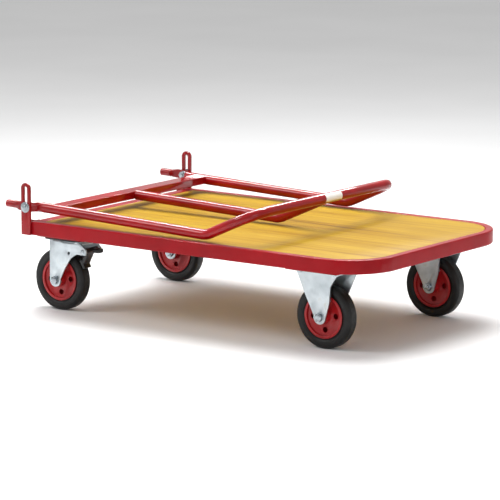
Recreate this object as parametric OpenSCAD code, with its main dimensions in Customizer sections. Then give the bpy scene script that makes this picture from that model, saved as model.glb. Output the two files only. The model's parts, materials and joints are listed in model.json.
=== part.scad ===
// Folding platform cart: a steel-rimmed plywood deck on four castors, with a cranked push handle that
// pivots in two slotted posts, folds flat over the deck, and stands upright with its stub ends in guides.
// Millimetres. X runs from the handle end to the nose, Y across (right is -Y), Z up from the floor.

/* [Platform] */
// Length of the frame, from the handle end to the nose
deck_len = 1020; // [860:10:1300]
// Width of the frame over its side rails
deck_wid = 674; // [560:2:860]
// Height of the frame's top above the tops of the tyres
deck_rise = 78; // [74:1:110]
// Height of the rail section
rim_h = 35; // [30:1:45]
// Width of the rail section
rim_w = 20; // [16:1:28]
// Wall of the rail section
rim_wall = 2; // [1.5:0.5:3]
// Outside edge radius of the rail section
rim_edge = 3; // [2:0.5:4]
// Outside radius of the two bends at the nose
corner_r = 130; // [80:5:180]
// Width of the straight cross member at the handle end
cross_w = 28; // [20:1:34]
// Thickness of the plywood board
board_t = 12; // [9:1:15]
// Depth of the board's face below the top of the rim
board_recess = 1; // [0.5:0.5:3]
// Gap between the board and the frame
board_gap = 1; // [0.5:0.5:3]
// Width of the bearers under the board
bearer_w = 25; // [20:1:40]
// Wall of the bearers
bearer_wall = 2; // [1.5:0.5:3]
// Distance of the board screws in from the castor pads
screw_in = 40; // [15:1:90]
// Diameter of the board screws
screw_d = 5; // [4:0.5:6]

/* [Castors] */
// Wheel diameter
wheel_d = 160; // [150:5:170]
// Tyre width
tyre_w = 36; // [30:1:44]
// Shoulder radius of the tyre
tyre_shoulder = 10; // [6:1:14]
// Radius where the tyre seats on the wheel centre
seat_r = 52; // [46:1:58]
// Distance of the castor centres in from the frame's sides
castor_inset = 93; // [85:1:130]
// Distance of the swivel axes from the handle end
kingpin_x = 78; // [76:1:110]
// Trail of the swivel castors
trail = 49; // [40:1:60]
// Distance of the fixed axles from the handle end
fixed_x = 850; // [700:5:1080]
// Gap between the legs of a fork
fork_gap = 56; // [50:1:64]
// Sheet thickness of the forks and their plates
fork_t = 4; // [3:0.5:5]
// Radius of the foot of each fork leg
foot_r = 17; // [14:1:20]
// Distance of a fixed fork's steep edge from the axle
steep_x = 31; // [24:1:38]
// Depth of the flange turned in along that edge
flange_in = 5; // [2:0.5:6]
// Length of a castor plate
plate_len = 140; // [130:1:150]
// Width of a castor plate
plate_wid = 110; // [100:1:120]
// Spacing of the plate's bolts along its length
bolt_len = 105; // [100:1:115]
// Spacing of the plate's bolts along its width
bolt_wid = 80; // [78:1:90]
// Diameter of the castor bolts
bolt_d = 8; // [6:1:10]
// Thickness of the pads welded under the frame
pad_t = 6; // [5:1:10]
// Length of a pad along the cart
pad_len = 150; // [142:1:160]
// Width of a pad across the cart
pad_wid = 140; // [120:1:145]
// Axle diameter
axle_d = 12; // [10:1:14]
// Outside diameter of the axle sleeve
sleeve_d = 20; // [18:1:24]
// Outside diameter of the wheel bearing
bearing_d = 27; // [25:1:32]
// Kingpin diameter
kingpin_d = 12; // [10:1:14]
// Radius of the ball track
race_r = 31; // [28:1:34]
// Ball diameter
ball_d = 8; // [6:1:9]
// Number of balls in a track
ball_count = 18; // [12:1:20]

/* [Handle] */
// Outside diameter of the handle tube
tube_d = 26; // [22:1:32]
// Wall of the handle tube
tube_wall = 2; // [1.5:0.5:3]
// Distance of the leg centres in from the frame's sides
leg_inset = 26.5; // [25:0.5:40]
// Length of a leg from the pivot to the crank
leg_len = 549; // [440:5:660]
// Angle of the crank
crank_angle = 26.3; // [10:0.1:40]
// Length from the crank to the grip
rise_len = 160; // [120:5:240]
// Centre line radius of the crank
crank_r = 60; // [40:5:90]
// Centre line radius of the grip's corners
grip_r = 60; // [40:5:110]
// Slope of the legs when folded
fold_lean = 2; // [0:0.5:2.5]
// Distance from the pivot to the rear edge of the base bar
bar_from = 53; // [48:1:90]
// Width of the base bar
bar_w = 40; // [25:1:50]
// Depth of the base bar
bar_h = 20; // [15:1:24]
// Wall of the base bar
bar_wall = 2; // [1.5:0.5:3]
// Diameter of the round stub at each end of the handle
stub_d = 20; // [16:1:20]
// Distance of the stub centres in from the frame's sides
stub_inset = 12; // [12:0.5:13]
// Length of the stub past the pivot
stub_len = 72; // [66:1:76]
// Length of the flattened stretch behind the pivot
flat_back = 28; // [24:1:32]
// Length of the flattened stretch ahead of the pivot
flat_front = 12; // [11:1:18]
// Height of the flattened stretch
flat_h = 22; // [18:1:22]
// Thickness of the flattened stretch
flat_t = 10; // [6:0.5:10]

/* [Posts] */
// Height of the pivot above the top of the frame
pivot_rise = 36; // [32:1:44]
// Distance of the pivot out from the end face of the frame
pivot_out = 11.5; // [11.5:0.5:16]
// Lift of the pivot in its slot
slot_travel = 48; // [46:1:60]
// Width of the post
post_w = 29; // [27:1:34]
// Thickness of the post
post_t = 6; // [4:1:8]
// Diameter of the pivot bolt
pivot_d = 10; // [8:1:10]

/* [Brakes] */
// Distance of the brake's pin ahead of the tyre
brake_out = 10; // [9:1:14]
// Height of the brake's pin above the top of the tyre
brake_up = 3; // [2:0.5:8]
// Diameter of the brake's pin
brake_pin_d = 6; // [5:0.5:8]
// Gap between the shoe and the tyre with the brake off
shoe_gap = 4; // [3:0.5:6]
// Width of the shoe
shoe_w = 26; // [20:1:40]

/* [Hidden] */
$fn = 64;
RIGHT = -1;
LEFT = 1;
SIDES = [RIGHT, LEFT];

red = "#b01f26";
rim_red = "#a53837";
wood = "#e0b253";
zinc = "#ccd3d6";
rubber = "#26241f";
plastic = "#1c1c1c";
label_white = "#f2f2ee";

fit = 0.05;          // radial clearance of a shaft in its hole
clear = 0.3;         // gap between faces that slide past each other
over = 1;            // how far a cutting shape runs past the face it cuts
half_wid = deck_wid / 2;
deck_top = wheel_d + deck_rise;
rim_bottom = deck_top - rim_h;
board_top = deck_top - board_recess;
board_bottom = board_top - board_t;
bearer_h = board_bottom - rim_bottom;
inner_r = corner_r - rim_w;
bend_x = deck_len - corner_r;
bend_y = half_wid - corner_r;

castor_h = rim_bottom - pad_t;
castor_y = half_wid - castor_inset;
screw_y = castor_y - pad_wid / 2 - screw_in;
axle_z = wheel_d / 2;
swivel_axle_x = kingpin_x - trail;
fork_half = fork_gap / 2 + fork_t;
pad_rear_x = kingpin_x;
bearer_rear_x = kingpin_x + pad_len / 2;
bearer_front_in_x = fixed_x - pad_len / 2;
bearer_front_out_x = fixed_x + pad_len / 2;
bearer_mid_x = (bearer_rear_x + bearer_front_in_x) / 2;
bearer_xs = [bearer_rear_x, bearer_mid_x, bearer_front_in_x, bearer_front_out_x];
plate_bottom = castor_h - fork_t;

// Ball track: two grooved rings with the balls between them
ring_h = 4.5;
ring_gap = 3;
ring_in = race_r - 8;
ring_out = race_r + 7;
ring_bottom = plate_bottom - ring_h;
crown_ring_top = ring_bottom - ring_gap;
crown_ring_h = 3.5;
crown_top = crown_ring_top - crown_ring_h;
crown_bottom = crown_top - fork_t;
ball_z = ring_bottom - ring_gap / 2;
crown_r = ring_out + 4;
kingpin_head_r = kingpin_d;
kingpin_head_h = 8;

// Fasteners
head_af = 1.625 * bolt_d;
head_h = 0.66 * bolt_d;
nut_h = 0.8 * bolt_d;
bolt_reach = 2;
screw_bite = 8;
screw_head_r = screw_d;
screw_head_h = 3;
axle_af = 1.6 * axle_d;
axle_head_h = 0.65 * axle_d;
pivot_af = 1.7 * pivot_d;
pivot_nut_h = 0.8 * pivot_d;
washer_r = 13.5;
washer_t = 2;
dome_r = 10.5;
dome_h = 6;

// Wheel
rim_barrel_t = 4;
lip_h = 3;
lip_t = 2;
bead_w = tyre_w - 8;
centre_w = bead_w + 2 * lip_t;
hub_wall = 5;
hub_r = bearing_d / 2 + hub_wall;
hub_len = fork_gap - 4;
web_t = 2.5;
web_y = 9;
web_hole_r = 7;
web_holes = 4;
web_mid = (hub_r + seat_r - rim_barrel_t) / 2;
bearing_len = hub_len;

// Brake lever; its pin is placed from the axle
brake_dx = wheel_d / 2 + brake_out;
brake_dz = wheel_d / 2 + brake_up;
hub_barrel_r = brake_pin_d / 2 + 4;
lever_half = fork_gap / 2 - 2;
pedal_w = 16;
pedal_t = 3;
pedal_len = 12;
grip_len = 17;
grip_h = 11;
grip_lap = 8;
shoe_t = 7;
shoe_from = 24;
shoe_to = 40;
pin_head_r = brake_pin_d / 2 + 2;
pin_head_t = 2;

// Handle
pivot_x = -pivot_out;
pivot_z = deck_top + pivot_rise;
leg_y = half_wid - leg_inset;
stub_y = half_wid - stub_inset;
flat_y = half_wid - 1 - flat_t / 2;
leg_from = flat_front + 10;
stub_taper = 14;
crank_t = crank_r * tan(crank_angle / 2);
leg_straight = leg_len - crank_t;
bend_lap = 0.5;       // how far a straight run reaches into a bend
bend_shy = 0.02;      // how far a bend's faces stand back from the straight run's
end_shy = 0.6;        // how far a flattened end's faces stand back where it enters a round piece
label_len = 70;
label_t = 0.4;
label_arc = 150;
label_start = -65;
label_from = -22;

// Slotted posts and stub guides
slot_w = pivot_d + 2 * clear;
cheek_t = 3;
cheek_x = pivot_x - stub_d / 2 - 3;
cheek_y = half_wid - stub_inset - stub_d / 2 - 1;

// The origin is under the middle of the whole cart at rest, with the handle folded
x_low = pivot_x - stub_len * cos(fold_lean) - stub_d / 2 * sin(fold_lean);
x_mid = (x_low + deck_len) / 2;

// ---------- helpers ----------

module place() {
    translate([-x_mid, 0, 0]) children();
}

// Moves to the swivel castor's kingpin axis on one side
module at_kingpin(side) {
    place() translate([kingpin_x, side * castor_y, 0]) children();
}

// Moves to the centre of an axle: rear wheels trail the kingpins, front wheels are fixed
module at_axle(x, side) {
    place() translate([x, side * castor_y, axle_z]) children();
}

// Moves to the pivot in the middle of the cart, turned so X runs along the folded legs
module at_pivot() {
    place() translate([pivot_x, 0, pivot_z]) rotate([0, fold_lean, 0]) children();
}

// Turns a shape that stands on Z so that it points outwards along Y on one side
module outwards(side) {
    rotate([-90 * side, 0, 0]) children();
}

module round_rect(w, h, r) {
    square([w - 2 * r, h], center = true);
    square([w, h - 2 * r], center = true);
    for (x = [-1, 1], y = [-1, 1])
        translate([x * (w / 2 - r), y * (h / 2 - r)]) circle(r = r);
}

module box_section(w, h, r, wall) {
    difference() {
        round_rect(w, h, r);
        square([w - 2 * wall, h - 2 * wall], center = true);
    }
}

module hex(af, h) {
    cylinder(d = af / cos(30), h = h, $fn = 6);
}

// A plan outline of the space inside the rail, set in by gap: square at the cross member, round at the nose
module inside_plan(gap) {
    r = inner_r - gap;
    y_in = half_wid - rim_w - gap;
    x_in = cross_w + gap;
    translate([x_in, -y_in]) square([bend_x - x_in, 2 * y_in]);
    translate([bend_x - over, -bend_y]) square([r + over, 2 * bend_y]);
    for (side = SIDES)
        translate([bend_x, side * bend_y]) circle(r = r, $fn = 96);
}

// ---------- frame and deck ----------

// The solid outline of the rail section
module rail_outline() {
    round_rect(rim_w, rim_h, rim_edge);
}

module frame_rail() {
    color(rim_red) place() translate([0, 0, deck_top - rim_h / 2]) {
        for (side = SIDES)
            translate([0, side * (half_wid - rim_w / 2), 0]) rotate([90, 0, 90]) {
                linear_extrude(rim_wall) rail_outline();
                linear_extrude(bend_x) box_section(rim_w, rim_h, rim_edge, rim_wall);
            }
        for (side = SIDES)
            translate([bend_x, side * bend_y, 0])
                rotate([0, 0, side == LEFT ? 0 : -90])
                    rotate_extrude(angle = 90, $fn = 96)
                        translate([corner_r - rim_w / 2, 0]) box_section(rim_w, rim_h, rim_edge, rim_wall);
        translate([deck_len - rim_w / 2, bend_y, 0])
            rotate([90, 0, 0])
                linear_extrude(2 * bend_y) box_section(rim_w, rim_h, rim_edge, rim_wall);
    }
}

module end_cross_member() {
    color(rim_red) place()
        translate([cross_w / 2, half_wid - rim_w, deck_top - rim_h / 2])
            rotate([90, 0, 0])
                linear_extrude(deck_wid - 2 * rim_w) box_section(cross_w, rim_h, rim_edge, rim_wall);
}

// One bearer across the frame, drilled for two board screws
module bearer(x) {
    color(rim_red) place() intersection() {
        difference() {
            translate([x, half_wid, rim_bottom + bearer_h / 2])
                rotate([90, 0, 0])
                    linear_extrude(deck_wid)
                        difference() {
                            square([bearer_w, bearer_h], center = true);
                            square([bearer_w - 2 * bearer_wall, bearer_h - 2 * bearer_wall], center = true);
                        }
            for (side = SIDES)
                translate([x, side * screw_y, rim_bottom - over])
                    cylinder(d = screw_d + 2 * fit, h = bearer_h + 2 * over);
        }
        translate([0, 0, rim_bottom - over]) linear_extrude(bearer_h + 2 * over) inside_plan(0);
    }
}

module bearer_rear() bearer(bearer_rear_x);

module bearer_middle() bearer(bearer_mid_x);

module bearer_front_inner() bearer(bearer_front_in_x);

module bearer_front_outer() bearer(bearer_front_out_x);

// The bolt places of one castor plate: turned sideways on the swivel castors
module at_bolts(turned) {
    dx = (turned ? bolt_wid : bolt_len) / 2;
    dy = (turned ? bolt_len : bolt_wid) / 2;
    for (x = [-dx, dx], y = [-dy, dy])
        translate([x, y, 0]) children();
}

// Repeats a shape at all four castor centres, and tells it whether the plate is turned
module at_castors() {
    for (side = SIDES) {
        place() translate([pad_rear_x, side * castor_y, 0]) {
            $turned = true;
            children();
        }
        place() translate([fixed_x, side * castor_y, 0]) {
            $turned = false;
            children();
        }
    }
}

module castor_pads() {
    color(rim_red) at_castors() difference() {
        translate([-pad_len / 2, -pad_wid / 2, castor_h]) cube([pad_len, pad_wid, pad_t]);
        at_bolts($turned) translate([0, 0, castor_h - over])
            cylinder(d = bolt_d + 2 * clear, h = pad_t + 2 * over);
    }
}

module deck_board() {
    color(wood) place() difference() {
        translate([0, 0, board_bottom]) linear_extrude(board_t) inside_plan(board_gap);
        for (x = bearer_xs, side = SIDES)
            translate([x, side * screw_y, board_bottom - over])
                cylinder(d = screw_d + 2 * fit, h = screw_bite + over + clear);
    }
}

module deck_screws() {
    color(zinc) place() for (x = bearer_xs, side = SIDES)
        translate([x, side * screw_y, 0]) {
            translate([0, 0, rim_bottom - screw_head_h]) cylinder(r = screw_head_r, h = screw_head_h);
            translate([0, 0, rim_bottom - over]) cylinder(d = screw_d, h = bearer_h + screw_bite + over);
        }
}

// ---------- slotted posts and stub guides ----------

module slot_post(side) {
    top = pivot_z + slot_travel;
    color(red) place() translate([pivot_x, side * half_wid, 0]) outwards(side) difference() {
        linear_extrude(post_t) {
            translate([-post_w / 2, -side * rim_bottom - (side == LEFT ? top - rim_bottom : 0)])
                square([post_w, top - rim_bottom]);
            translate([0, -side * top]) circle(d = post_w);
        }
        translate([0, 0, -over]) linear_extrude(post_t + 2 * over) {
            translate([-slot_w / 2, -side * pivot_z - (side == LEFT ? slot_travel : 0)])
                square([slot_w, slot_travel]);
            for (z = [pivot_z, top])
                translate([0, -side * z]) circle(d = slot_w);
        }
    }
}

module slot_post_right() slot_post(RIGHT);

module slot_post_left() slot_post(LEFT);

// An angle welded to the end face beside the stub; the post is the guide's other side
module stub_guide(side) {
    y = side * cheek_y;
    color(red) place() {
        translate([cheek_x, side == LEFT ? y - cheek_t : y, rim_bottom])
            cube([-cheek_x, cheek_t, rim_h]);
        translate([-cheek_t, side == LEFT ? y - 5 * cheek_t : y, rim_bottom])
            cube([cheek_t, 5 * cheek_t, rim_h]);
    }
}

module stub_guide_right() stub_guide(RIGHT);

module stub_guide_left() stub_guide(LEFT);

// ---------- castor fasteners and plates ----------

module castor_bolts() {
    color(zinc) at_castors() at_bolts($turned) {
        translate([0, 0, plate_bottom - head_h]) hex(head_af, head_h);
        translate([0, 0, plate_bottom - head_h / 2])
            cylinder(d = bolt_d, h = rim_bottom + nut_h + bolt_reach - plate_bottom + head_h / 2);
    }
}

module castor_nuts() {
    color(zinc) at_castors() at_bolts($turned) translate([0, 0, rim_bottom]) difference() {
        hex(head_af, nut_h);
        translate([0, 0, -over]) cylinder(d = bolt_d + 2 * fit, h = nut_h + 2 * over);
    }
}

// A ring of the ball track, grooved round the balls with the given gap
module race_ring(z, h, gap) {
    difference() {
        translate([0, 0, z]) rotate_extrude() translate([ring_in, 0]) square([ring_out - ring_in, h]);
        translate([0, 0, ball_z]) rotate_extrude() translate([race_r, 0]) circle(d = ball_d + 2 * gap);
    }
}

// The castor's top plate with its bolt holes
module castor_plate(len_x, len_y, turned) {
    translate([0, 0, plate_bottom]) difference() {
        linear_extrude(fork_t) round_rect(len_x, len_y, 10);
        at_bolts(turned) translate([0, 0, -over]) cylinder(d = bolt_d + 2 * clear, h = fork_t + 2 * over);
    }
}

module swivel_plate(side) {
    color(zinc) at_kingpin(side) difference() {
        union() {
            castor_plate(plate_wid, plate_len, true);
            race_ring(ring_bottom, ring_h + fork_t / 2, fit);
        }
        translate([0, 0, plate_bottom - over]) cylinder(d = kingpin_d + 2 * fit, h = fork_t + 2 * over);
    }
}

module swivel_plate_right() swivel_plate(RIGHT);

module swivel_plate_left() swivel_plate(LEFT);

module kingpins() {
    color(zinc) for (side = SIDES) at_kingpin(side) {
        translate([0, 0, crown_bottom - clear]) cylinder(d = kingpin_d, h = castor_h - crown_bottom + clear);
        translate([0, 0, crown_bottom - clear - kingpin_head_h]) cylinder(r = kingpin_head_r, h = kingpin_head_h);
    }
}

module ball_ring(side) {
    color(zinc) at_kingpin(side) for (i = [0 : ball_count - 1])
        rotate([0, 0, i * 360 / ball_count]) translate([race_r, 0, ball_z]) sphere(d = ball_d, $fn = 32);
}

module ball_ring_right() ball_ring(RIGHT);

module ball_ring_left() ball_ring(LEFT);

// ---------- forks ----------

// Side view of a swivel fork leg, about the axle: a straight rear edge, a round foot and a forward horn
module swivel_leg_plan() {
    top = crown_top - axle_z;
    circle(r = foot_r);
    polygon([
        [-foot_r, 0], [-foot_r, top],
        [brake_dx - 6, top], [brake_dx + 12, brake_dz + 4], [brake_dx + 10, brake_dz - 9],
        [0.78 * brake_dx, brake_dz - 9], [0.56 * brake_dx, 0.6 * top], [0.35 * brake_dx, 0.32 * top],
        [foot_r, 4], [foot_r, 0]
    ]);
}

// Side view of a fixed fork leg, about the axle: slanted behind, steep ahead up to a flared top
module fixed_leg_plan() {
    top = plate_bottom - axle_z + fork_t / 2;
    wide = plate_len / 2 - 2;
    circle(r = foot_r);
    polygon([
        [-foot_r, 5], [-0.65 * wide, 0.5 * top], [-wide, top - 6], [-wide, top],
        [0.75 * wide, top], [0.75 * wide, top - 5], [steep_x, 0.68 * top], [steep_x - 3, 0.33 * top],
        [foot_r, -1]
    ]);
}

// The steep edge of a fixed fork leg, turned in towards the wheel
module fixed_flange() {
    low = 0.36 * (plate_bottom - axle_z);
    translate([steep_x - fork_t - 3, -fork_half, low])
        cube([fork_t, fork_t + flange_in, plate_bottom - axle_z - low + fork_t / 2]);
}

// A pair of fork legs with one line of holes for the axle
module leg_pair() {
    for (side = SIDES)
        translate([0, side * (fork_half - fork_t / 2) + fork_t / 2, 0])
            rotate([90, 0, 0]) linear_extrude(fork_t) children();
}

module axle_holes() {
    translate([0, fork_half + over, 0])
        rotate([90, 0, 0]) cylinder(d = axle_d + 2 * fit, h = 2 * (fork_half + over));
}

module swivel_fork(side) {
    color(zinc) difference() {
        union() {
            at_axle(swivel_axle_x, side) leg_pair() swivel_leg_plan();
            at_kingpin(side) {
                translate([0, 0, crown_bottom]) cylinder(r = crown_r, h = fork_t);
                translate([-foot_r - trail, -fork_half, crown_bottom])
                    cube([foot_r + brake_dx - 6, 2 * fork_half, fork_t]);
                race_ring(crown_top - fork_t / 2, crown_ring_h + fork_t / 2, clear);
            }
        }
        at_axle(swivel_axle_x, side) {
            axle_holes();
            translate([brake_dx, fork_half + over, brake_dz])
                rotate([90, 0, 0]) cylinder(d = brake_pin_d + 2 * fit, h = 2 * (fork_half + over));
            translate([brake_dx / 2, fork_half + over, brake_dz - 8])
                rotate([90, 0, 0]) cylinder(d = brake_pin_d + 2, h = 2 * (fork_half + over));
        }
        at_kingpin(side) translate([0, 0, crown_bottom - over])
            cylinder(d = kingpin_d + 2 * fit, h = fork_t + 2 * over);
    }
}

module swivel_fork_right() swivel_fork(RIGHT);

module swivel_fork_left() swivel_fork(LEFT);

module fixed_fork(side) {
    color(zinc) difference() {
        union() {
            for (half_turn = [0, 180])
                at_axle(fixed_x, side) rotate([0, 0, half_turn]) {
                    translate([0, -fork_half + fork_t, 0])
                        rotate([90, 0, 0]) linear_extrude(fork_t) fixed_leg_plan();
                    fixed_flange();
                }
            place() translate([fixed_x, side * castor_y, 0]) castor_plate(plate_len, plate_wid, false);
        }
        at_axle(fixed_x, side) axle_holes();
    }
}

module fixed_fork_right() fixed_fork(RIGHT);

module fixed_fork_left() fixed_fork(LEFT);

// ---------- axles ----------

// Bolt through both legs with its head on the outside
module axle_bolt(side) {
    outwards(side) {
        translate([0, 0, -fork_half - axle_head_h - 2]) cylinder(d = axle_d, h = 2 * fork_half + axle_head_h + 3);
        translate([0, 0, fork_half]) hex(axle_af, axle_head_h);
    }
}

// Nut on the inner end of an axle bolt
module axle_nut(side) {
    outwards(side) translate([0, 0, -fork_half - axle_head_h]) difference() {
        hex(axle_af, axle_head_h);
        translate([0, 0, -over]) cylinder(d = axle_d + 2 * fit, h = axle_head_h + 2 * over);
    }
}

// Spacer sleeve clamped between the legs, on which the bearing turns
module sleeve() {
    translate([0, fork_gap / 2, 0]) rotate([90, 0, 0]) difference() {
        cylinder(d = sleeve_d, h = fork_gap);
        translate([0, 0, -over]) cylinder(d = axle_d + 2 * fit, h = fork_gap + 2 * over);
    }
}

module swivel_axle_right() color(zinc) at_axle(swivel_axle_x, RIGHT) axle_bolt(RIGHT);

module swivel_axle_left() color(zinc) at_axle(swivel_axle_x, LEFT) axle_bolt(LEFT);

module swivel_axle_nut_right() color(zinc) at_axle(swivel_axle_x, RIGHT) axle_nut(RIGHT);

module swivel_axle_nut_left() color(zinc) at_axle(swivel_axle_x, LEFT) axle_nut(LEFT);

module swivel_sleeve_right() color(zinc) at_axle(swivel_axle_x, RIGHT) sleeve();

module swivel_sleeve_left() color(zinc) at_axle(swivel_axle_x, LEFT) sleeve();

module fixed_axles() {
    color(zinc) for (side = SIDES) at_axle(fixed_x, side) axle_bolt(side);
}

module fixed_axle_nuts() {
    color(zinc) for (side = SIDES) at_axle(fixed_x, side) axle_nut(side);
}

module fixed_sleeves() {
    color(zinc) for (side = SIDES) at_axle(fixed_x, side) sleeve();
}

// ---------- wheels ----------

// Half section of the tyre: a crowned tread over a narrower bead that sits between the lips
module tyre_section() {
    bead_r = seat_r + lip_h + clear;
    translate([seat_r, -bead_w / 2]) square([bead_r - seat_r + over, bead_w]);
    translate([(bead_r + wheel_d / 2) / 2, 0]) round_rect(wheel_d / 2 - bead_r, tyre_w, tyre_shoulder);
}

// Half section of the pressed wheel centre: barrel with lips, two webs and hub
module centre_section() {
    barrel_in = seat_r - rim_barrel_t;
    translate([barrel_in, -centre_w / 2]) square([rim_barrel_t, centre_w]);
    for (y = [-centre_w / 2, centre_w / 2 - lip_t])
        translate([seat_r - over, y]) square([lip_h + over, lip_t]);
    for (y = [-web_y, web_y])
        translate([hub_r - over, y - web_t / 2]) square([barrel_in - hub_r + 2 * over, web_t]);
    translate([bearing_d / 2, -hub_len / 2]) square([hub_wall, hub_len]);
}

module spin_about_axle() {
    rotate([90, 0, 0]) rotate_extrude($fn = 128) children();
}

module tyre(x, side) {
    color(rubber) at_axle(x, side) spin_about_axle() tyre_section();
}

module wheel_centre(x, side) {
    color(red) at_axle(x, side) difference() {
        spin_about_axle() centre_section();
        for (i = [0 : 2 * web_holes - 1], y = [i % 2 == 0 ? web_y : -web_y])
            rotate([0, (i + 0.9) * 180 / web_holes, 0]) translate([web_mid, y + web_t, 0])
                rotate([90, 0, 0]) cylinder(r = web_hole_r, h = 2 * web_t);
    }
}

module wheel_bearing(x, side) {
    color(plastic) at_axle(x, side) translate([0, bearing_len / 2, 0]) rotate([90, 0, 0]) difference() {
        cylinder(d = bearing_d, h = bearing_len);
        translate([0, 0, -over]) cylinder(d = sleeve_d + 2 * fit, h = bearing_len + 2 * over);
    }
}

module tyre_rear_right() tyre(swivel_axle_x, RIGHT);

module tyre_rear_left() tyre(swivel_axle_x, LEFT);

module tyre_front_right() tyre(fixed_x, RIGHT);

module tyre_front_left() tyre(fixed_x, LEFT);

module wheel_centre_rear_right() wheel_centre(swivel_axle_x, RIGHT);

module wheel_centre_rear_left() wheel_centre(swivel_axle_x, LEFT);

module wheel_centre_front_right() wheel_centre(fixed_x, RIGHT);

module wheel_centre_front_left() wheel_centre(fixed_x, LEFT);

module wheel_bearing_rear_right() wheel_bearing(swivel_axle_x, RIGHT);

module wheel_bearing_rear_left() wheel_bearing(swivel_axle_x, LEFT);

module wheel_bearing_front_right() wheel_bearing(fixed_x, RIGHT);

module wheel_bearing_front_left() wheel_bearing(fixed_x, LEFT);

// ---------- brakes ----------

module brake_pin(side) {
    color(zinc) at_axle(swivel_axle_x, side) translate([brake_dx, 0, brake_dz]) {
        translate([0, fork_half + over, 0]) rotate([90, 0, 0])
            cylinder(d = brake_pin_d, h = 2 * (fork_half + over));
        for (s = SIDES)
            translate([0, s * fork_half, 0]) outwards(s) cylinder(r = pin_head_r, h = pin_head_t);
    }
}

module brake_pin_right() brake_pin(RIGHT);

module brake_pin_left() brake_pin(LEFT);

// Side view of the shoe: a short arc just outside the tyre
module shoe_plan() {
    r = wheel_d / 2 + shoe_gap;
    intersection() {
        difference() {
            circle(r = r + shoe_t, $fn = 128);
            circle(r = r, $fn = 128);
        }
        polygon([
            [0, 0],
            [2 * r * cos(shoe_from), 2 * r * sin(shoe_from)],
            [2 * r * cos(shoe_to), 2 * r * sin(shoe_to)]
        ]);
    }
}

// Side view of the arm from the pin down to the shoe
module arm_plan() {
    r = wheel_d / 2 + shoe_gap + shoe_t / 2;
    a = (shoe_from + shoe_to) / 2;
    polygon([
        [brake_dx - 4, brake_dz], [r * cos(shoe_to - 5), r * sin(shoe_to - 5)],
        [r * cos(a - 3), r * sin(a - 3)], [brake_dx + 5, brake_dz - 3]
    ]);
}

module brake_lever(side) {
    pedal_x = brake_dx + hub_barrel_r - 2;
    color(zinc) at_axle(swivel_axle_x, side) difference() {
        union() {
            translate([brake_dx, lever_half, brake_dz]) rotate([90, 0, 0])
                cylinder(r = hub_barrel_r, h = 2 * lever_half);
            translate([0, shoe_w / 2, 0]) rotate([90, 0, 0]) linear_extrude(shoe_w) {
                shoe_plan();
                arm_plan();
            }
            translate([pedal_x, -pedal_w / 2, brake_dz]) cube([pedal_len + grip_lap, pedal_w, pedal_t]);
        }
        translate([brake_dx, lever_half + over, brake_dz]) rotate([90, 0, 0])
            cylinder(d = brake_pin_d + 2 * fit, h = 2 * (lever_half + over));
    }
}

module brake_lever_right() brake_lever(RIGHT);

module brake_lever_left() brake_lever(LEFT);

// A plastic tread block with a pocket that the pedal plate fills
module brake_grip(side) {
    grip_w = pedal_w + 6;
    grip_x = brake_dx + hub_barrel_r - 2 + pedal_len;
    color(plastic) at_axle(swivel_axle_x, side) difference() {
        translate([grip_x, 0, brake_dz + pedal_t / 2])
            rotate([0, 90, 0]) linear_extrude(grip_len) round_rect(grip_h, grip_w, 3);
        translate([grip_x - over, -pedal_w / 2 - fit, brake_dz - fit])
            cube([grip_lap + over + fit, pedal_w + 2 * fit, pedal_t + 2 * fit]);
    }
}

module brake_grip_right() brake_grip(RIGHT);

module brake_grip_left() brake_grip(LEFT);

// ---------- handle ----------

// The tube's section, thinned by shy on both faces
module tube_ring(shy) {
    difference() {
        circle(d = tube_d - 2 * shy);
        circle(d = tube_d - 2 * tube_wall + 2 * shy);
    }
}

// A straight length of handle tube along X
module tube_run(from, to) {
    translate([from, 0, 0]) rotate([90, 0, 90]) linear_extrude(to - from) tube_ring(0);
}

// The bend of the crank, from the end of the straight leg
module crank_bend() {
    translate([leg_straight, 0, crank_r]) rotate([90, 0, 0]) rotate([0, 0, -90])
        rotate_extrude(angle = crank_angle) translate([crank_r, 0]) tube_ring(bend_shy);
}

// Moves to the crank, turned so X runs up the rise
module at_crank() {
    translate([leg_len, 0, 0]) rotate([0, -crank_angle, 0]) children();
}

// The whole outer bow: two cranked legs, two corners and the grip
module bow() {
    for (side = SIDES) translate([0, side * leg_y, 0]) {
        tube_run(leg_from, leg_straight + bend_lap);
        crank_bend();
    }
    at_crank() {
        for (side = SIDES) {
            translate([0, side * leg_y, 0]) tube_run(crank_t - bend_lap, rise_len - grip_r + bend_lap);
            translate([rise_len - grip_r, side * (leg_y - grip_r), 0])
                rotate([0, 0, side == LEFT ? 0 : -90])
                    rotate_extrude(angle = 90) translate([grip_r, 0]) tube_ring(bend_shy);
        }
        translate([rise_len, leg_y - grip_r + bend_lap, 0]) rotate([90, 0, 0])
            linear_extrude(2 * (leg_y - grip_r + bend_lap)) tube_ring(0);
    }
}

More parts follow.
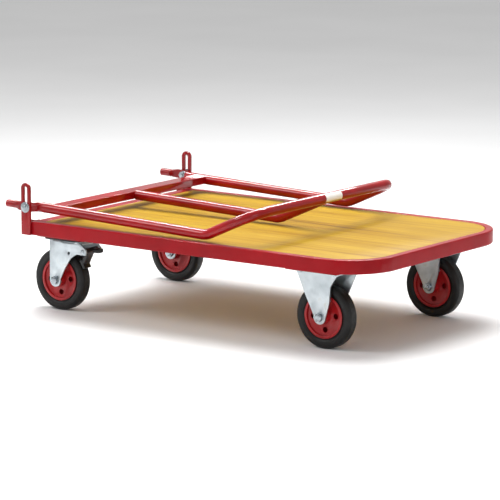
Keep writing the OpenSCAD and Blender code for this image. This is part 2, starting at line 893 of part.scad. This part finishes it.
// The flattened pivot end and round stub of one leg, drilled for the pivot bolt
module pivot_end(side) {
    stub_round = stub_len - flat_back - stub_taper;
    flat_in_t = flat_t - end_shy;
    flat_in_h = flat_h - end_shy;
    difference() {
        union() {
            translate([-stub_len, side * stub_y, 0]) rotate([0, 90, 0])
                cylinder(d = stub_d, h = stub_round);
            hull() {
                translate([-stub_len + stub_round - over, side * stub_y, 0]) rotate([0, 90, 0])
                    cylinder(d = stub_d - 2 * end_shy, h = over, $fn = 32);
                translate([-flat_back, side * flat_y - flat_in_t / 2, -flat_in_h / 2])
                    cube([over, flat_in_t, flat_in_h]);
            }
            translate([-flat_back, side * flat_y - flat_t / 2, -flat_h / 2])
                cube([flat_back + flat_front, flat_t, flat_h]);
            hull() {
                translate([flat_front - over, side * flat_y - flat_in_t / 2, -flat_in_h / 2])
                    cube([over, flat_in_t, flat_in_h]);
                translate([leg_from, side * leg_y, 0]) rotate([0, 90, 0])
                    cylinder(d = tube_d - end_shy, h = over, $fn = 32);
            }
        }
        translate([0, side * flat_y + flat_t, 0]) rotate([90, 0, 0])
            cylinder(d = pivot_d + 2 * fit, h = 2 * flat_t);
        translate([-stub_len - over, side * stub_y, 0]) rotate([0, 90, 0])
            cylinder(d = stub_d - 2 * tube_wall, h = stub_round - 2 * over);
    }
}

module handle_tube() {
    color(red) at_pivot() {
        bow();
        for (side = SIDES) pivot_end(side);
    }
}

module base_bar() {
    color(red) at_pivot() difference() {
        translate([bar_from + bar_w / 2, leg_y, 0]) rotate([90, 0, 0])
            linear_extrude(2 * leg_y) box_section(bar_w, bar_h, bar_wall, bar_wall);
        for (side = SIDES)
            translate([0, side * leg_y, 0]) rotate([0, 90, 0]) cylinder(d = tube_d, h = leg_straight);
    }
}

module centre_tube() {
    color(red) at_pivot() difference() {
        union() {
            tube_run(bar_from + bar_w, leg_straight + bend_lap);
            crank_bend();
            at_crank() tube_run(crank_t - bend_lap, rise_len - tube_d / 4);
        }
        at_crank() translate([rise_len, tube_d, 0]) rotate([90, 0, 0]) cylinder(d = tube_d, h = 2 * tube_d);
    }
}

// A blank sticker wrapped part of the way round the grip
module grip_label() {
    color(label_white) at_pivot() at_crank() translate([rise_len, label_from + label_len, 0])
        rotate([90, 0, 0]) rotate([0, 0, label_start])
            rotate_extrude(angle = label_arc) translate([tube_d / 2, 0]) square([label_t, label_len]);
}

// ---------- pivot bolts ----------

module at_pivot_bolt(side) {
    place() translate([pivot_x, side * half_wid, pivot_z]) outwards(side) children();
}

module pivot_bolts() {
    inner_end = 1 + flat_t + clear + washer_t + pivot_nut_h + 2;
    color(zinc) for (side = SIDES) at_pivot_bolt(side) {
        translate([0, 0, -inner_end]) cylinder(d = pivot_d, h = inner_end + post_t + clear + washer_t + over);
        translate([0, 0, post_t + clear + washer_t]) intersection() {
            translate([0, 0, dome_h - dome_r]) sphere(r = dome_r);
            cylinder(r = dome_r, h = dome_h);
        }
    }
}

module pivot_washers() {
    color(zinc) for (side = SIDES) at_pivot_bolt(side)
        for (z = [post_t + clear, -1 - flat_t - clear - washer_t])
            translate([0, 0, z]) difference() {
                cylinder(r = z > 0 ? washer_r : dome_r, h = washer_t);
                translate([0, 0, -over]) cylinder(d = pivot_d + 2 * fit, h = washer_t + 2 * over);
            }
}

module pivot_nuts() {
    color(zinc) for (side = SIDES) at_pivot_bolt(side)
        translate([0, 0, -1 - flat_t - clear - washer_t - pivot_nut_h]) difference() {
            hex(pivot_af, pivot_nut_h);
            translate([0, 0, -over]) cylinder(d = pivot_d + 2 * fit, h = pivot_nut_h + 2 * over);
        }
}

frame_rail();
end_cross_member();
bearer_rear();
bearer_middle();
bearer_front_inner();
bearer_front_outer();
castor_pads();
deck_board();
deck_screws();
slot_post_right();
slot_post_left();
stub_guide_right();
stub_guide_left();
castor_bolts();
castor_nuts();
swivel_plate_right();
swivel_plate_left();
kingpins();
swivel_fork_right();
swivel_fork_left();
ball_ring_right();
ball_ring_left();
swivel_axle_right();
swivel_axle_left();
swivel_axle_nut_right();
swivel_axle_nut_left();
swivel_sleeve_right();
swivel_sleeve_left();
brake_pin_right();
brake_pin_left();
brake_lever_right();
brake_lever_left();
brake_grip_right();
brake_grip_left();
fixed_fork_right();
fixed_fork_left();
fixed_axles();
fixed_axle_nuts();
fixed_sleeves();
tyre_rear_right();
tyre_rear_left();
tyre_front_right();
tyre_front_left();
wheel_centre_rear_right();
wheel_centre_rear_left();
wheel_centre_front_right();
wheel_centre_front_left();
wheel_bearing_rear_right();
wheel_bearing_rear_left();
wheel_bearing_front_right();
wheel_bearing_front_left();
pivot_bolts();
pivot_washers();
pivot_nuts();
handle_tube();
centre_tube();
base_bar();
grip_label();
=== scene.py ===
import json
import math
import bpy
from mathutils import Matrix, Vector


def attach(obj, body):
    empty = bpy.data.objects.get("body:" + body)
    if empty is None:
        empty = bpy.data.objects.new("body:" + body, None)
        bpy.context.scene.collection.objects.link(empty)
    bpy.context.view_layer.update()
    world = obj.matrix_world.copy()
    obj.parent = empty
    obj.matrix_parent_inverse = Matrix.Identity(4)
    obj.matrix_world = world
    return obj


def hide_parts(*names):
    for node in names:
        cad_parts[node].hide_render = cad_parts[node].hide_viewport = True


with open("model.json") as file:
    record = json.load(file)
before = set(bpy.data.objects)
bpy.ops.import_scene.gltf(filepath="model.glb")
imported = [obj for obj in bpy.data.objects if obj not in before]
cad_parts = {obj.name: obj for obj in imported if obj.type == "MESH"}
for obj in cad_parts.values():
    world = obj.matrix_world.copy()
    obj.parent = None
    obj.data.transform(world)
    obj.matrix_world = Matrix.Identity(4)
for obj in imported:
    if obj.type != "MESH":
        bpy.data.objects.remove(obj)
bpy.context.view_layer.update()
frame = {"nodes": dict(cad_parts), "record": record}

NODES = frame["nodes"]
NEAR_ENOUGH = 0.002   # mm, corners closer than this are one
SAME_PLANE = 0.5      # degrees between faces that are really one flat face
BODY_OF = {n: b for b, ns in frame["record"]["behaviour"]["bodies"].items() for n in ns}
MM = 0.001
bpy.ops.object.select_all(action="DESELECT")


# ---------- camera ----------

CAM_PLACE = (4.67459, -6.52660, 1.60850)   # metres, in the cart's frame
CAM_YAW, CAM_PITCH, CAM_ROLL = 0.623870, 0.177891, 0.001699
CAM_LENS, CAM_SENSOR = 230.632, 36.0

ahead = Vector((-math.sin(CAM_YAW) * math.cos(CAM_PITCH), math.cos(CAM_YAW) * math.cos(CAM_PITCH),
                -math.sin(CAM_PITCH)))
right = Vector((math.cos(CAM_YAW), math.sin(CAM_YAW), 0))
above = right.cross(ahead)
right, above = (right * math.cos(CAM_ROLL) + above * math.sin(CAM_ROLL),
                above * math.cos(CAM_ROLL) - right * math.sin(CAM_ROLL))
camera_data = bpy.data.cameras.new("camera")
camera_data.lens = CAM_LENS
camera_data.sensor_width = CAM_SENSOR
camera_data.clip_end = 200
camera = bpy.data.objects.new("camera", camera_data)
camera.matrix_world = Matrix((
    (right.x, above.x, -ahead.x, CAM_PLACE[0]),
    (right.y, above.y, -ahead.y, CAM_PLACE[1]),
    (right.z, above.z, -ahead.z, CAM_PLACE[2]),
    (0, 0, 0, 1)))
bpy.context.scene.collection.objects.link(camera)
bpy.context.scene.camera = camera
bpy.context.scene.view_settings.view_transform = "Standard"


# ---------- small tools ----------

def lin(hexa, alpha=1.0):
    """An sRGB hex colour as linear numbers."""
    out = []
    for i in (1, 3, 5):
        c = int(hexa[i:i + 2], 16) / 255
        out.append(c / 12.92 if c <= 0.04045 else ((c + 0.055) / 1.055) ** 2.4)
    return (*out, alpha)


def node(tree, kind, links=(), props=(), **values):
    """Adds a shader node, sets its properties and inputs, and links its inputs to other nodes' outputs."""
    n = tree.nodes.new(kind)
    for key, value in dict(props).items():
        setattr(n, key, value)
    for key, value in values.items():
        n.inputs[key.replace("_", " ")].default_value = value
    for key, source in dict(links).items():
        tree.links.new(n.inputs[key], source)
    return n


def ramp(tree, source, stops):
    """A colour ramp through (place, colour) stops."""
    n = tree.nodes.new("ShaderNodeValToRGB")
    tree.links.new(n.inputs[0], source)
    while len(n.color_ramp.elements) < len(stops):
        n.color_ramp.elements.new(0.5)
    for element, (place, colour) in zip(n.color_ramp.elements, stops):
        element.position = place
        element.color = colour
    return n


def new_material(name, **shader):
    """A material with one Principled shader; returns the material, its tree, the shader and object
    coordinates."""
    m = bpy.data.materials.new(name)
    m.use_nodes = True
    tree = m.node_tree
    principled = tree.nodes["Principled BSDF"]
    for key, value in shader.items():
        principled.inputs[key.replace("_", " ")].default_value = value
    where = node(tree, "ShaderNodeTexCoord").outputs["Object"]
    return m, tree, principled, where


def noise(tree, where, size_mm, detail=2.0, roughness=0.5, stretch=None):
    """Noise whose blobs are about size_mm across, on metres of object coordinates."""
    if stretch:
        where = node(tree, "ShaderNodeMapping", {"Vector": where}, Scale=stretch).outputs[0]
    return node(tree, "ShaderNodeTexNoise", {"Vector": where}, Scale=1.0 / (size_mm * MM), Detail=detail,
                Roughness=roughness).outputs["Fac"]


def spread(tree, source, low, high, at=(0.3, 0.7)):
    """Maps a 0-1 pattern to the range low to high."""
    n = node(tree, "ShaderNodeMapRange", {"Value": source})
    for i, value in zip((1, 2, 3, 4), (at[0], at[1], low, high)):
        n.inputs[i].default_value = value
    return n.outputs[0]


def bump(tree, shader, source, height_mm, strength=1.0, under=None):
    """Raises the surface by a pattern, on top of the relief under it."""
    links = {"Height": source}
    if under:
        links["Normal"] = under
    n = node(tree, "ShaderNodeBump", links, Strength=strength, Distance=height_mm * MM)
    tree.links.new(shader.inputs["Normal"], n.outputs[0])
    return n.outputs[0]


# ---------- materials ----------

def enamel(name, colour, deep, roughness, coat, specular):
    """Sprayed stoving enamel on steel: slightly pebbled by the spray, with a clear glossy skin
    over flat colour."""
    m, t, s, where = new_material(name, Roughness=roughness, Coat_Weight=coat, Coat_Roughness=0.03,
                                  Specular_IOR_Level=specular, IOR=1.5)
    cloud = noise(t, where, 90, 3)
    tint = ramp(t, cloud, [(0.3, lin(deep)), (0.7, lin(colour))])
    t.links.new(s.inputs["Base Color"], tint.outputs[0])
    t.links.new(s.inputs["Roughness"], spread(t, noise(t, where, 14, 4), roughness - 0.05, roughness + 0.07))
    peel = bump(t, s, noise(t, where, 4, 2), 0.02, 0.3)
    bump(t, s, noise(t, where, 60, 2), 0.15, 0.3, peel)
    return m


def zinc(name, colour, warm, roughness, brushed=None, bright="#e2e7ea"):
    """Bright zinc plate: a pale bluish metal, faintly clouded by the bath and warmed where the
    plate is thick."""
    m, t, s, where = new_material(name, Metallic=1.0, Roughness=roughness)
    cloud = noise(t, where, 35, 4)
    tint = ramp(t, cloud, [(0.32, lin(colour)), (0.62, lin(bright)), (0.8, lin(warm))])
    t.links.new(s.inputs["Base Color"], tint.outputs[0])
    t.links.new(s.inputs["Roughness"], spread(t, noise(t, where, 8, 5), roughness - 0.07, roughness + 0.12))
    grain = noise(t, where, 2.0, 3, stretch=brushed or (1, 1, 0.08))
    bump(t, s, grain, 0.03, 0.35)
    return m


rail_enamel = enamel("stoved_enamel_rail_red", "#a00f19", "#8c0d15", 0.4, 0.2, 0.05)
gloss_enamel = enamel("gloss_enamel_handle_red", "#a30812", "#85060d", 0.4, 0.7, 0.03)
hub_enamel = enamel("dipped_enamel_wheel_red", "#ae1a1e", "#92151a", 0.34, 0.2, 0.3)
black_enamel = enamel("black_enamel_brake_steel", "#1b1b1d", "#121213", 0.35, 0.2, 0.35)
zinc_plate = zinc("zinc_plate_pressed_steel", "#b2bbc0", "#b8b4a8", 0.4, bright="#ccd4d8")
zinc_bolt = zinc("zinc_plate_turned_fastener", "#9aa2a8", "#aea898", 0.25, (1, 1, 1), "#b9c0c4")
# Painted shade: the swivel plates sit in the shadow under the rim, and their zinc is painted dark grey to
# stand in for that shade
swivel_zinc_painted_shade = zinc("zinc_swivel_plate_dark_for_painted_shade", "#2d2f31", "#3b3833", 0.35, bright="#3a3c3e")


VENEER = 1.5   # mm, one ply of the board


def make_plywood():
    """Rotary-cut birch ply under clear lacquer: long soft streaks along the board, fine pores, a
    gentle sheen."""
    m, t, s, where = new_material("lacquered_birch_plywood_face", Roughness=0.5, IOR=1.48,
                                  Specular_IOR_Level=0.03)
    broad = noise(t, where, 120, 5, 0.55, (0.10, 1, 1))
    fine = noise(t, where, 14, 6, 0.6, (0.05, 1, 1))
    mixed = node(t, "ShaderNodeMix", {2: broad, 3: fine}, {"data_type": "FLOAT"})
    mixed.inputs[0].default_value = 0.35
    face = ramp(t, mixed.outputs[0], [(0.34, lin("#7c5810")), (0.44, lin("#a17a18")), (0.57, lin("#b69224")),
                                     (0.67, lin("#8c6712"))])
    pores = ramp(t, noise(t, where, 3.0, 3, 0.6, (0.06, 1, 1)),
                 [(0.28, lin("#b98634")), (0.42, lin("#ffffff"))])
    grained = node(t, "ShaderNodeMix", {6: face.outputs[0], 7: pores.outputs[0]},
                   {"data_type": "RGBA", "blend_type": "MULTIPLY"})
    grained.inputs[0].default_value = 0.2
    # The edge shows the plies: bands a veneer thick, light and dark by turns
    height = node(t, "ShaderNodeSeparateXYZ", {0: where})
    bands = node(t, "ShaderNodeMath", {0: height.outputs[2]}, {"operation": "PINGPONG"})
    bands.inputs[1].default_value = VENEER * MM
    plies = ramp(t, spread(t, bands.outputs[0], 0, 1, (0, VENEER * MM)),
                 [(0.42, lin("#e6c489")), (0.58, lin("#9a6a35"))])
    facing = node(t, "ShaderNodeSeparateXYZ", {0: node(t, "ShaderNodeNewGeometry").outputs["Normal"]})
    level = node(t, "ShaderNodeMath", {0: facing.outputs[2]}, {"operation": "ABSOLUTE"})
    flat = spread(t, level.outputs[0], 0, 1, (0.4, 0.6))
    skin = node(t, "ShaderNodeMix", {0: flat, 6: plies.outputs[0], 7: grained.outputs[2]},
                {"data_type": "RGBA"})
    t.links.new(s.inputs["Base Color"], skin.outputs[2])
    t.links.new(s.inputs["Roughness"], spread(t, broad, 0.36, 0.52))
    bump(t, s, fine, 0.08, 0.3)
    return m


plywood = make_plywood()


RIB_HALF_PITCH, GROOVE = 2.5, 0.9   # mm across the tread


def make_rubber():
    """Moulded black rubber: a dull sheen, a bloom of grey on the high spots and fine moulded ribs
    round the tread."""
    m, t, s, where = new_material("moulded_black_tyre_rubber", Roughness=0.5, IOR=1.52,
                                  Specular_IOR_Level=0.35)
    tint = ramp(t, noise(t, where, 25, 4), [(0.35, lin("#090808")), (0.7, lin("#12100f"))])
    t.links.new(s.inputs["Base Color"], tint.outputs[0])
    t.links.new(s.inputs["Roughness"], spread(t, noise(t, where, 10, 5), 0.38, 0.6))
    across = node(t, "ShaderNodeSeparateXYZ", {0: where})
    ribs = node(t, "ShaderNodeMath", {0: across.outputs[1]}, {"operation": "PINGPONG"})
    ribs.inputs[1].default_value = RIB_HALF_PITCH * MM
    grooves = spread(t, ribs.outputs[0], 0, 1, (0, GROOVE * MM))
    bump(t, s, grooves, 0.5, 0.6, bump(t, s, noise(t, where, 1.6, 3), 0.05, 0.4))
    return m


tyre_rubber = make_rubber()


def make_plastic():
    """Moulded polypropylene: near black, spark-eroded grain, a soft low sheen."""
    m, t, s, where = new_material("grained_black_polypropylene", Roughness=0.5, IOR=1.49)
    tint = ramp(t, noise(t, where, 20, 2), [(0.35, lin("#141414")), (0.7, lin("#222120"))])
    t.links.new(s.inputs["Base Color"], tint.outputs[0])
    t.links.new(s.inputs["Roughness"], spread(t, noise(t, where, 5, 3), 0.42, 0.6))
    bump(t, s, noise(t, where, 1.0, 2), 0.06, 0.5)
    return m


black_plastic = make_plastic()


def make_label():
    """Printed vinyl sticker, left blank: flat white, a slight sheen, barely uneven over the tube."""
    m, t, s, where = new_material("blank_white_vinyl_sticker", Roughness=0.35, IOR=1.46, Coat_Weight=0.2)
    tint = ramp(t, noise(t, where, 30, 2), [(0.3, lin("#f8f8f6")), (0.7, lin("#ffffff"))])
    t.links.new(s.inputs["Base Color"], tint.outputs[0])
    t.links.new(s.inputs["Roughness"], spread(t, noise(t, where, 6, 2), 0.3, 0.42))
    bump(t, s, noise(t, where, 4, 2), 0.03, 0.4)
    return m


label_vinyl = make_label()


# ---------- pieces finished from the CAD nodes ----------

def only(o):
    """Selects one piece and nothing else."""
    bpy.ops.object.select_all(action="DESELECT")
    o.select_set(True)
    bpy.context.view_layer.objects.active = o


def edit(o):
    """Opens one piece for editing."""
    only(o)
    bpy.ops.object.mode_set(mode="EDIT")


def finished(name, material, bevel_mm=0.0, angle=35, segments=2):
    """A copy of a CAD node with its seams merged, its corners eased and its round faces shaded smooth."""
    source = NODES[name]
    o = bpy.data.objects.new(name + "_finished", source.data.copy())
    bpy.context.scene.collection.objects.link(o)
    only(o)
    bpy.ops.mesh.customdata_custom_splitnormals_clear()
    edit(o)
    bpy.ops.mesh.select_all(action="SELECT")
    bpy.ops.mesh.remove_doubles(threshold=NEAR_ENOUGH * MM)
    bpy.ops.mesh.dissolve_limited(angle_limit=math.radians(SAME_PLANE), delimit={"NORMAL"})
    bpy.ops.object.mode_set(mode="OBJECT")
    if bevel_mm:
        b = o.modifiers.new("eased", "BEVEL")
        b.width = bevel_mm * MM
        b.segments = segments
        b.limit_method = "ANGLE"
        b.angle_limit = math.radians(angle)
        b.harden_normals = False
        b.use_clamp_overlap = True
        bpy.ops.object.modifier_apply(modifier=b.name)
    bpy.ops.object.shade_smooth_by_angle(angle=math.radians(angle))
    o.data.materials.clear()
    o.data.materials.append(material)
    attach(o, BODY_OF[name])
    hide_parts(name)
    return o


for n in ["frame_rail", "end_cross_member"]:
    finished(n, rail_enamel, 1.6, segments=3)
for n in ["bearer_rear", "bearer_middle", "bearer_front_inner", "bearer_front_outer", "castor_pads"]:
    finished(n, rail_enamel, 0.6)
finished("deck_board", plywood, 0.8)
for n in ["slot_post_right", "slot_post_left"]:
    finished(n, gloss_enamel, 1.0)
for n in ["stub_guide_right", "stub_guide_left", "base_bar"]:
    finished(n, gloss_enamel, 0.6)
for n in ["handle_tube", "centre_tube"]:
    finished(n, gloss_enamel, 0.0)
for n in NODES:
    if n.startswith("wheel_centre"):
        finished(n, hub_enamel, 0.7)
    elif n.startswith("tyre"):
        finished(n, tyre_rubber, 0.0)
    elif n.startswith("wheel_bearing") or n.startswith("brake_grip"):
        finished(n, black_plastic, 0.5)
    elif n.startswith("brake_lever"):
        finished(n, black_enamel, 0.5)
    elif n.startswith("swivel_plate"):
        finished(n, swivel_zinc_painted_shade, 0.5)
    elif n.startswith(("swivel_fork", "fixed_fork")):
        finished(n, zinc_plate, 0.6)
    elif n.startswith(("swivel_axle", "fixed_axle", "brake_pin", "swivel_sleeve", "fixed_sleeves", "pivot_",
                       "kingpins", "castor_bolts", "castor_nuts", "deck_screws", "ball_ring")):
        finished(n, zinc_bolt, 0.35)
label = finished("grip_label", label_vinyl, 0.0)

# The sticker shows only on the grip's side, so the strips over the top and under the belly are cut away
TUBE_RADIUS = 13 * MM
handle_corners = [Vector(corner) for corner in NODES["handle_tube"].bound_box]
GRIP_X = max(corner.x for corner in handle_corners) - TUBE_RADIUS
GRIP_Z = max(corner.z for corner in handle_corners) - TUBE_RADIUS
STICKER_LOW, STICKER_HIGH = -28, 50   # degrees above level, seen from the nose
edit(label)
bpy.ops.mesh.select_mode(type="FACE")
bpy.ops.mesh.select_all(action="DESELECT")
bpy.ops.object.mode_set(mode="OBJECT")
for face in label.data.polygons:
    rise = math.degrees(math.atan2(face.center.z - GRIP_Z, face.center.x - GRIP_X))
    face.select = not STICKER_LOW < rise < STICKER_HIGH
edit(label)
bpy.ops.mesh.delete(type="FACE")
bpy.ops.mesh.select_all(action="SELECT")
bpy.ops.mesh.fill_holes(sides=0)
bpy.ops.mesh.normals_make_consistent(inside=False)
bpy.ops.object.mode_set(mode="OBJECT")


# ---------- floor and light ----------

bpy.ops.mesh.primitive_plane_add(size=60, location=(0, 0, 0))
floor = bpy.context.object
floor.name = "studio_floor"
floor_material, ft, fs, fwhere = new_material("pale_studio_floor", Roughness=0.9, Specular_IOR_Level=0.1)
pale = ramp(ft, noise(ft, fwhere, 900, 2), [(0.3, lin("#f1f1f1")), (0.7, lin("#f6f6f6"))])
ft.links.new(fs.inputs["Base Color"], pale.outputs[0])
floor.data.materials.append(floor_material)

world = bpy.data.worlds.new("studio_air")
world.use_nodes = True
world.node_tree.nodes["Background"].inputs[0].default_value = lin("#ffffff")
world.node_tree.nodes["Background"].inputs[1].default_value = 0.55
bpy.context.scene.world = world


def soft_box(name, place, target, size, watts, gloss_only=False, matt_only=False):
    """A rectangular studio light at place, turned to target."""
    data = bpy.data.lights.new(name, "AREA")
    data.shape = "RECTANGLE"
    data.size, data.size_y = size
    data.energy = watts
    o = bpy.data.objects.new(name, data)
    o.location = place
    o.rotation_euler = (Vector(target) - Vector(place)).to_track_quat("-Z", "Y").to_euler()
    o.visible_diffuse = not gloss_only
    o.visible_glossy = not matt_only
    bpy.context.scene.collection.objects.link(o)


# The two strips only draw highlight lines along the tubes; the others light the cart
soft_box("strip_long", (-1.7, 0.9, 2.8), (-1.7, 0, 0.25), (5.0, 0.4), 420, gloss_only=True)
soft_box("strip_across", (-0.9, 2.4, 2.8), (0, 2.4, 0.25), (3.2, 0.4), 260, gloss_only=True)
soft_box("soft_above", (-0.4, 0.6, 3.0), (0, 0, 0.2), (2.4, 2.4), 130, matt_only=True)
soft_box("key_left_high", (-2.6, -2.8, 3.2), (0, 0, 0.2), (1.6, 1.6), 60)
soft_box("fill_nose", (4.0, -3.0, 1.6), (0, 0, 0.2), (1.6, 1.6), 20)
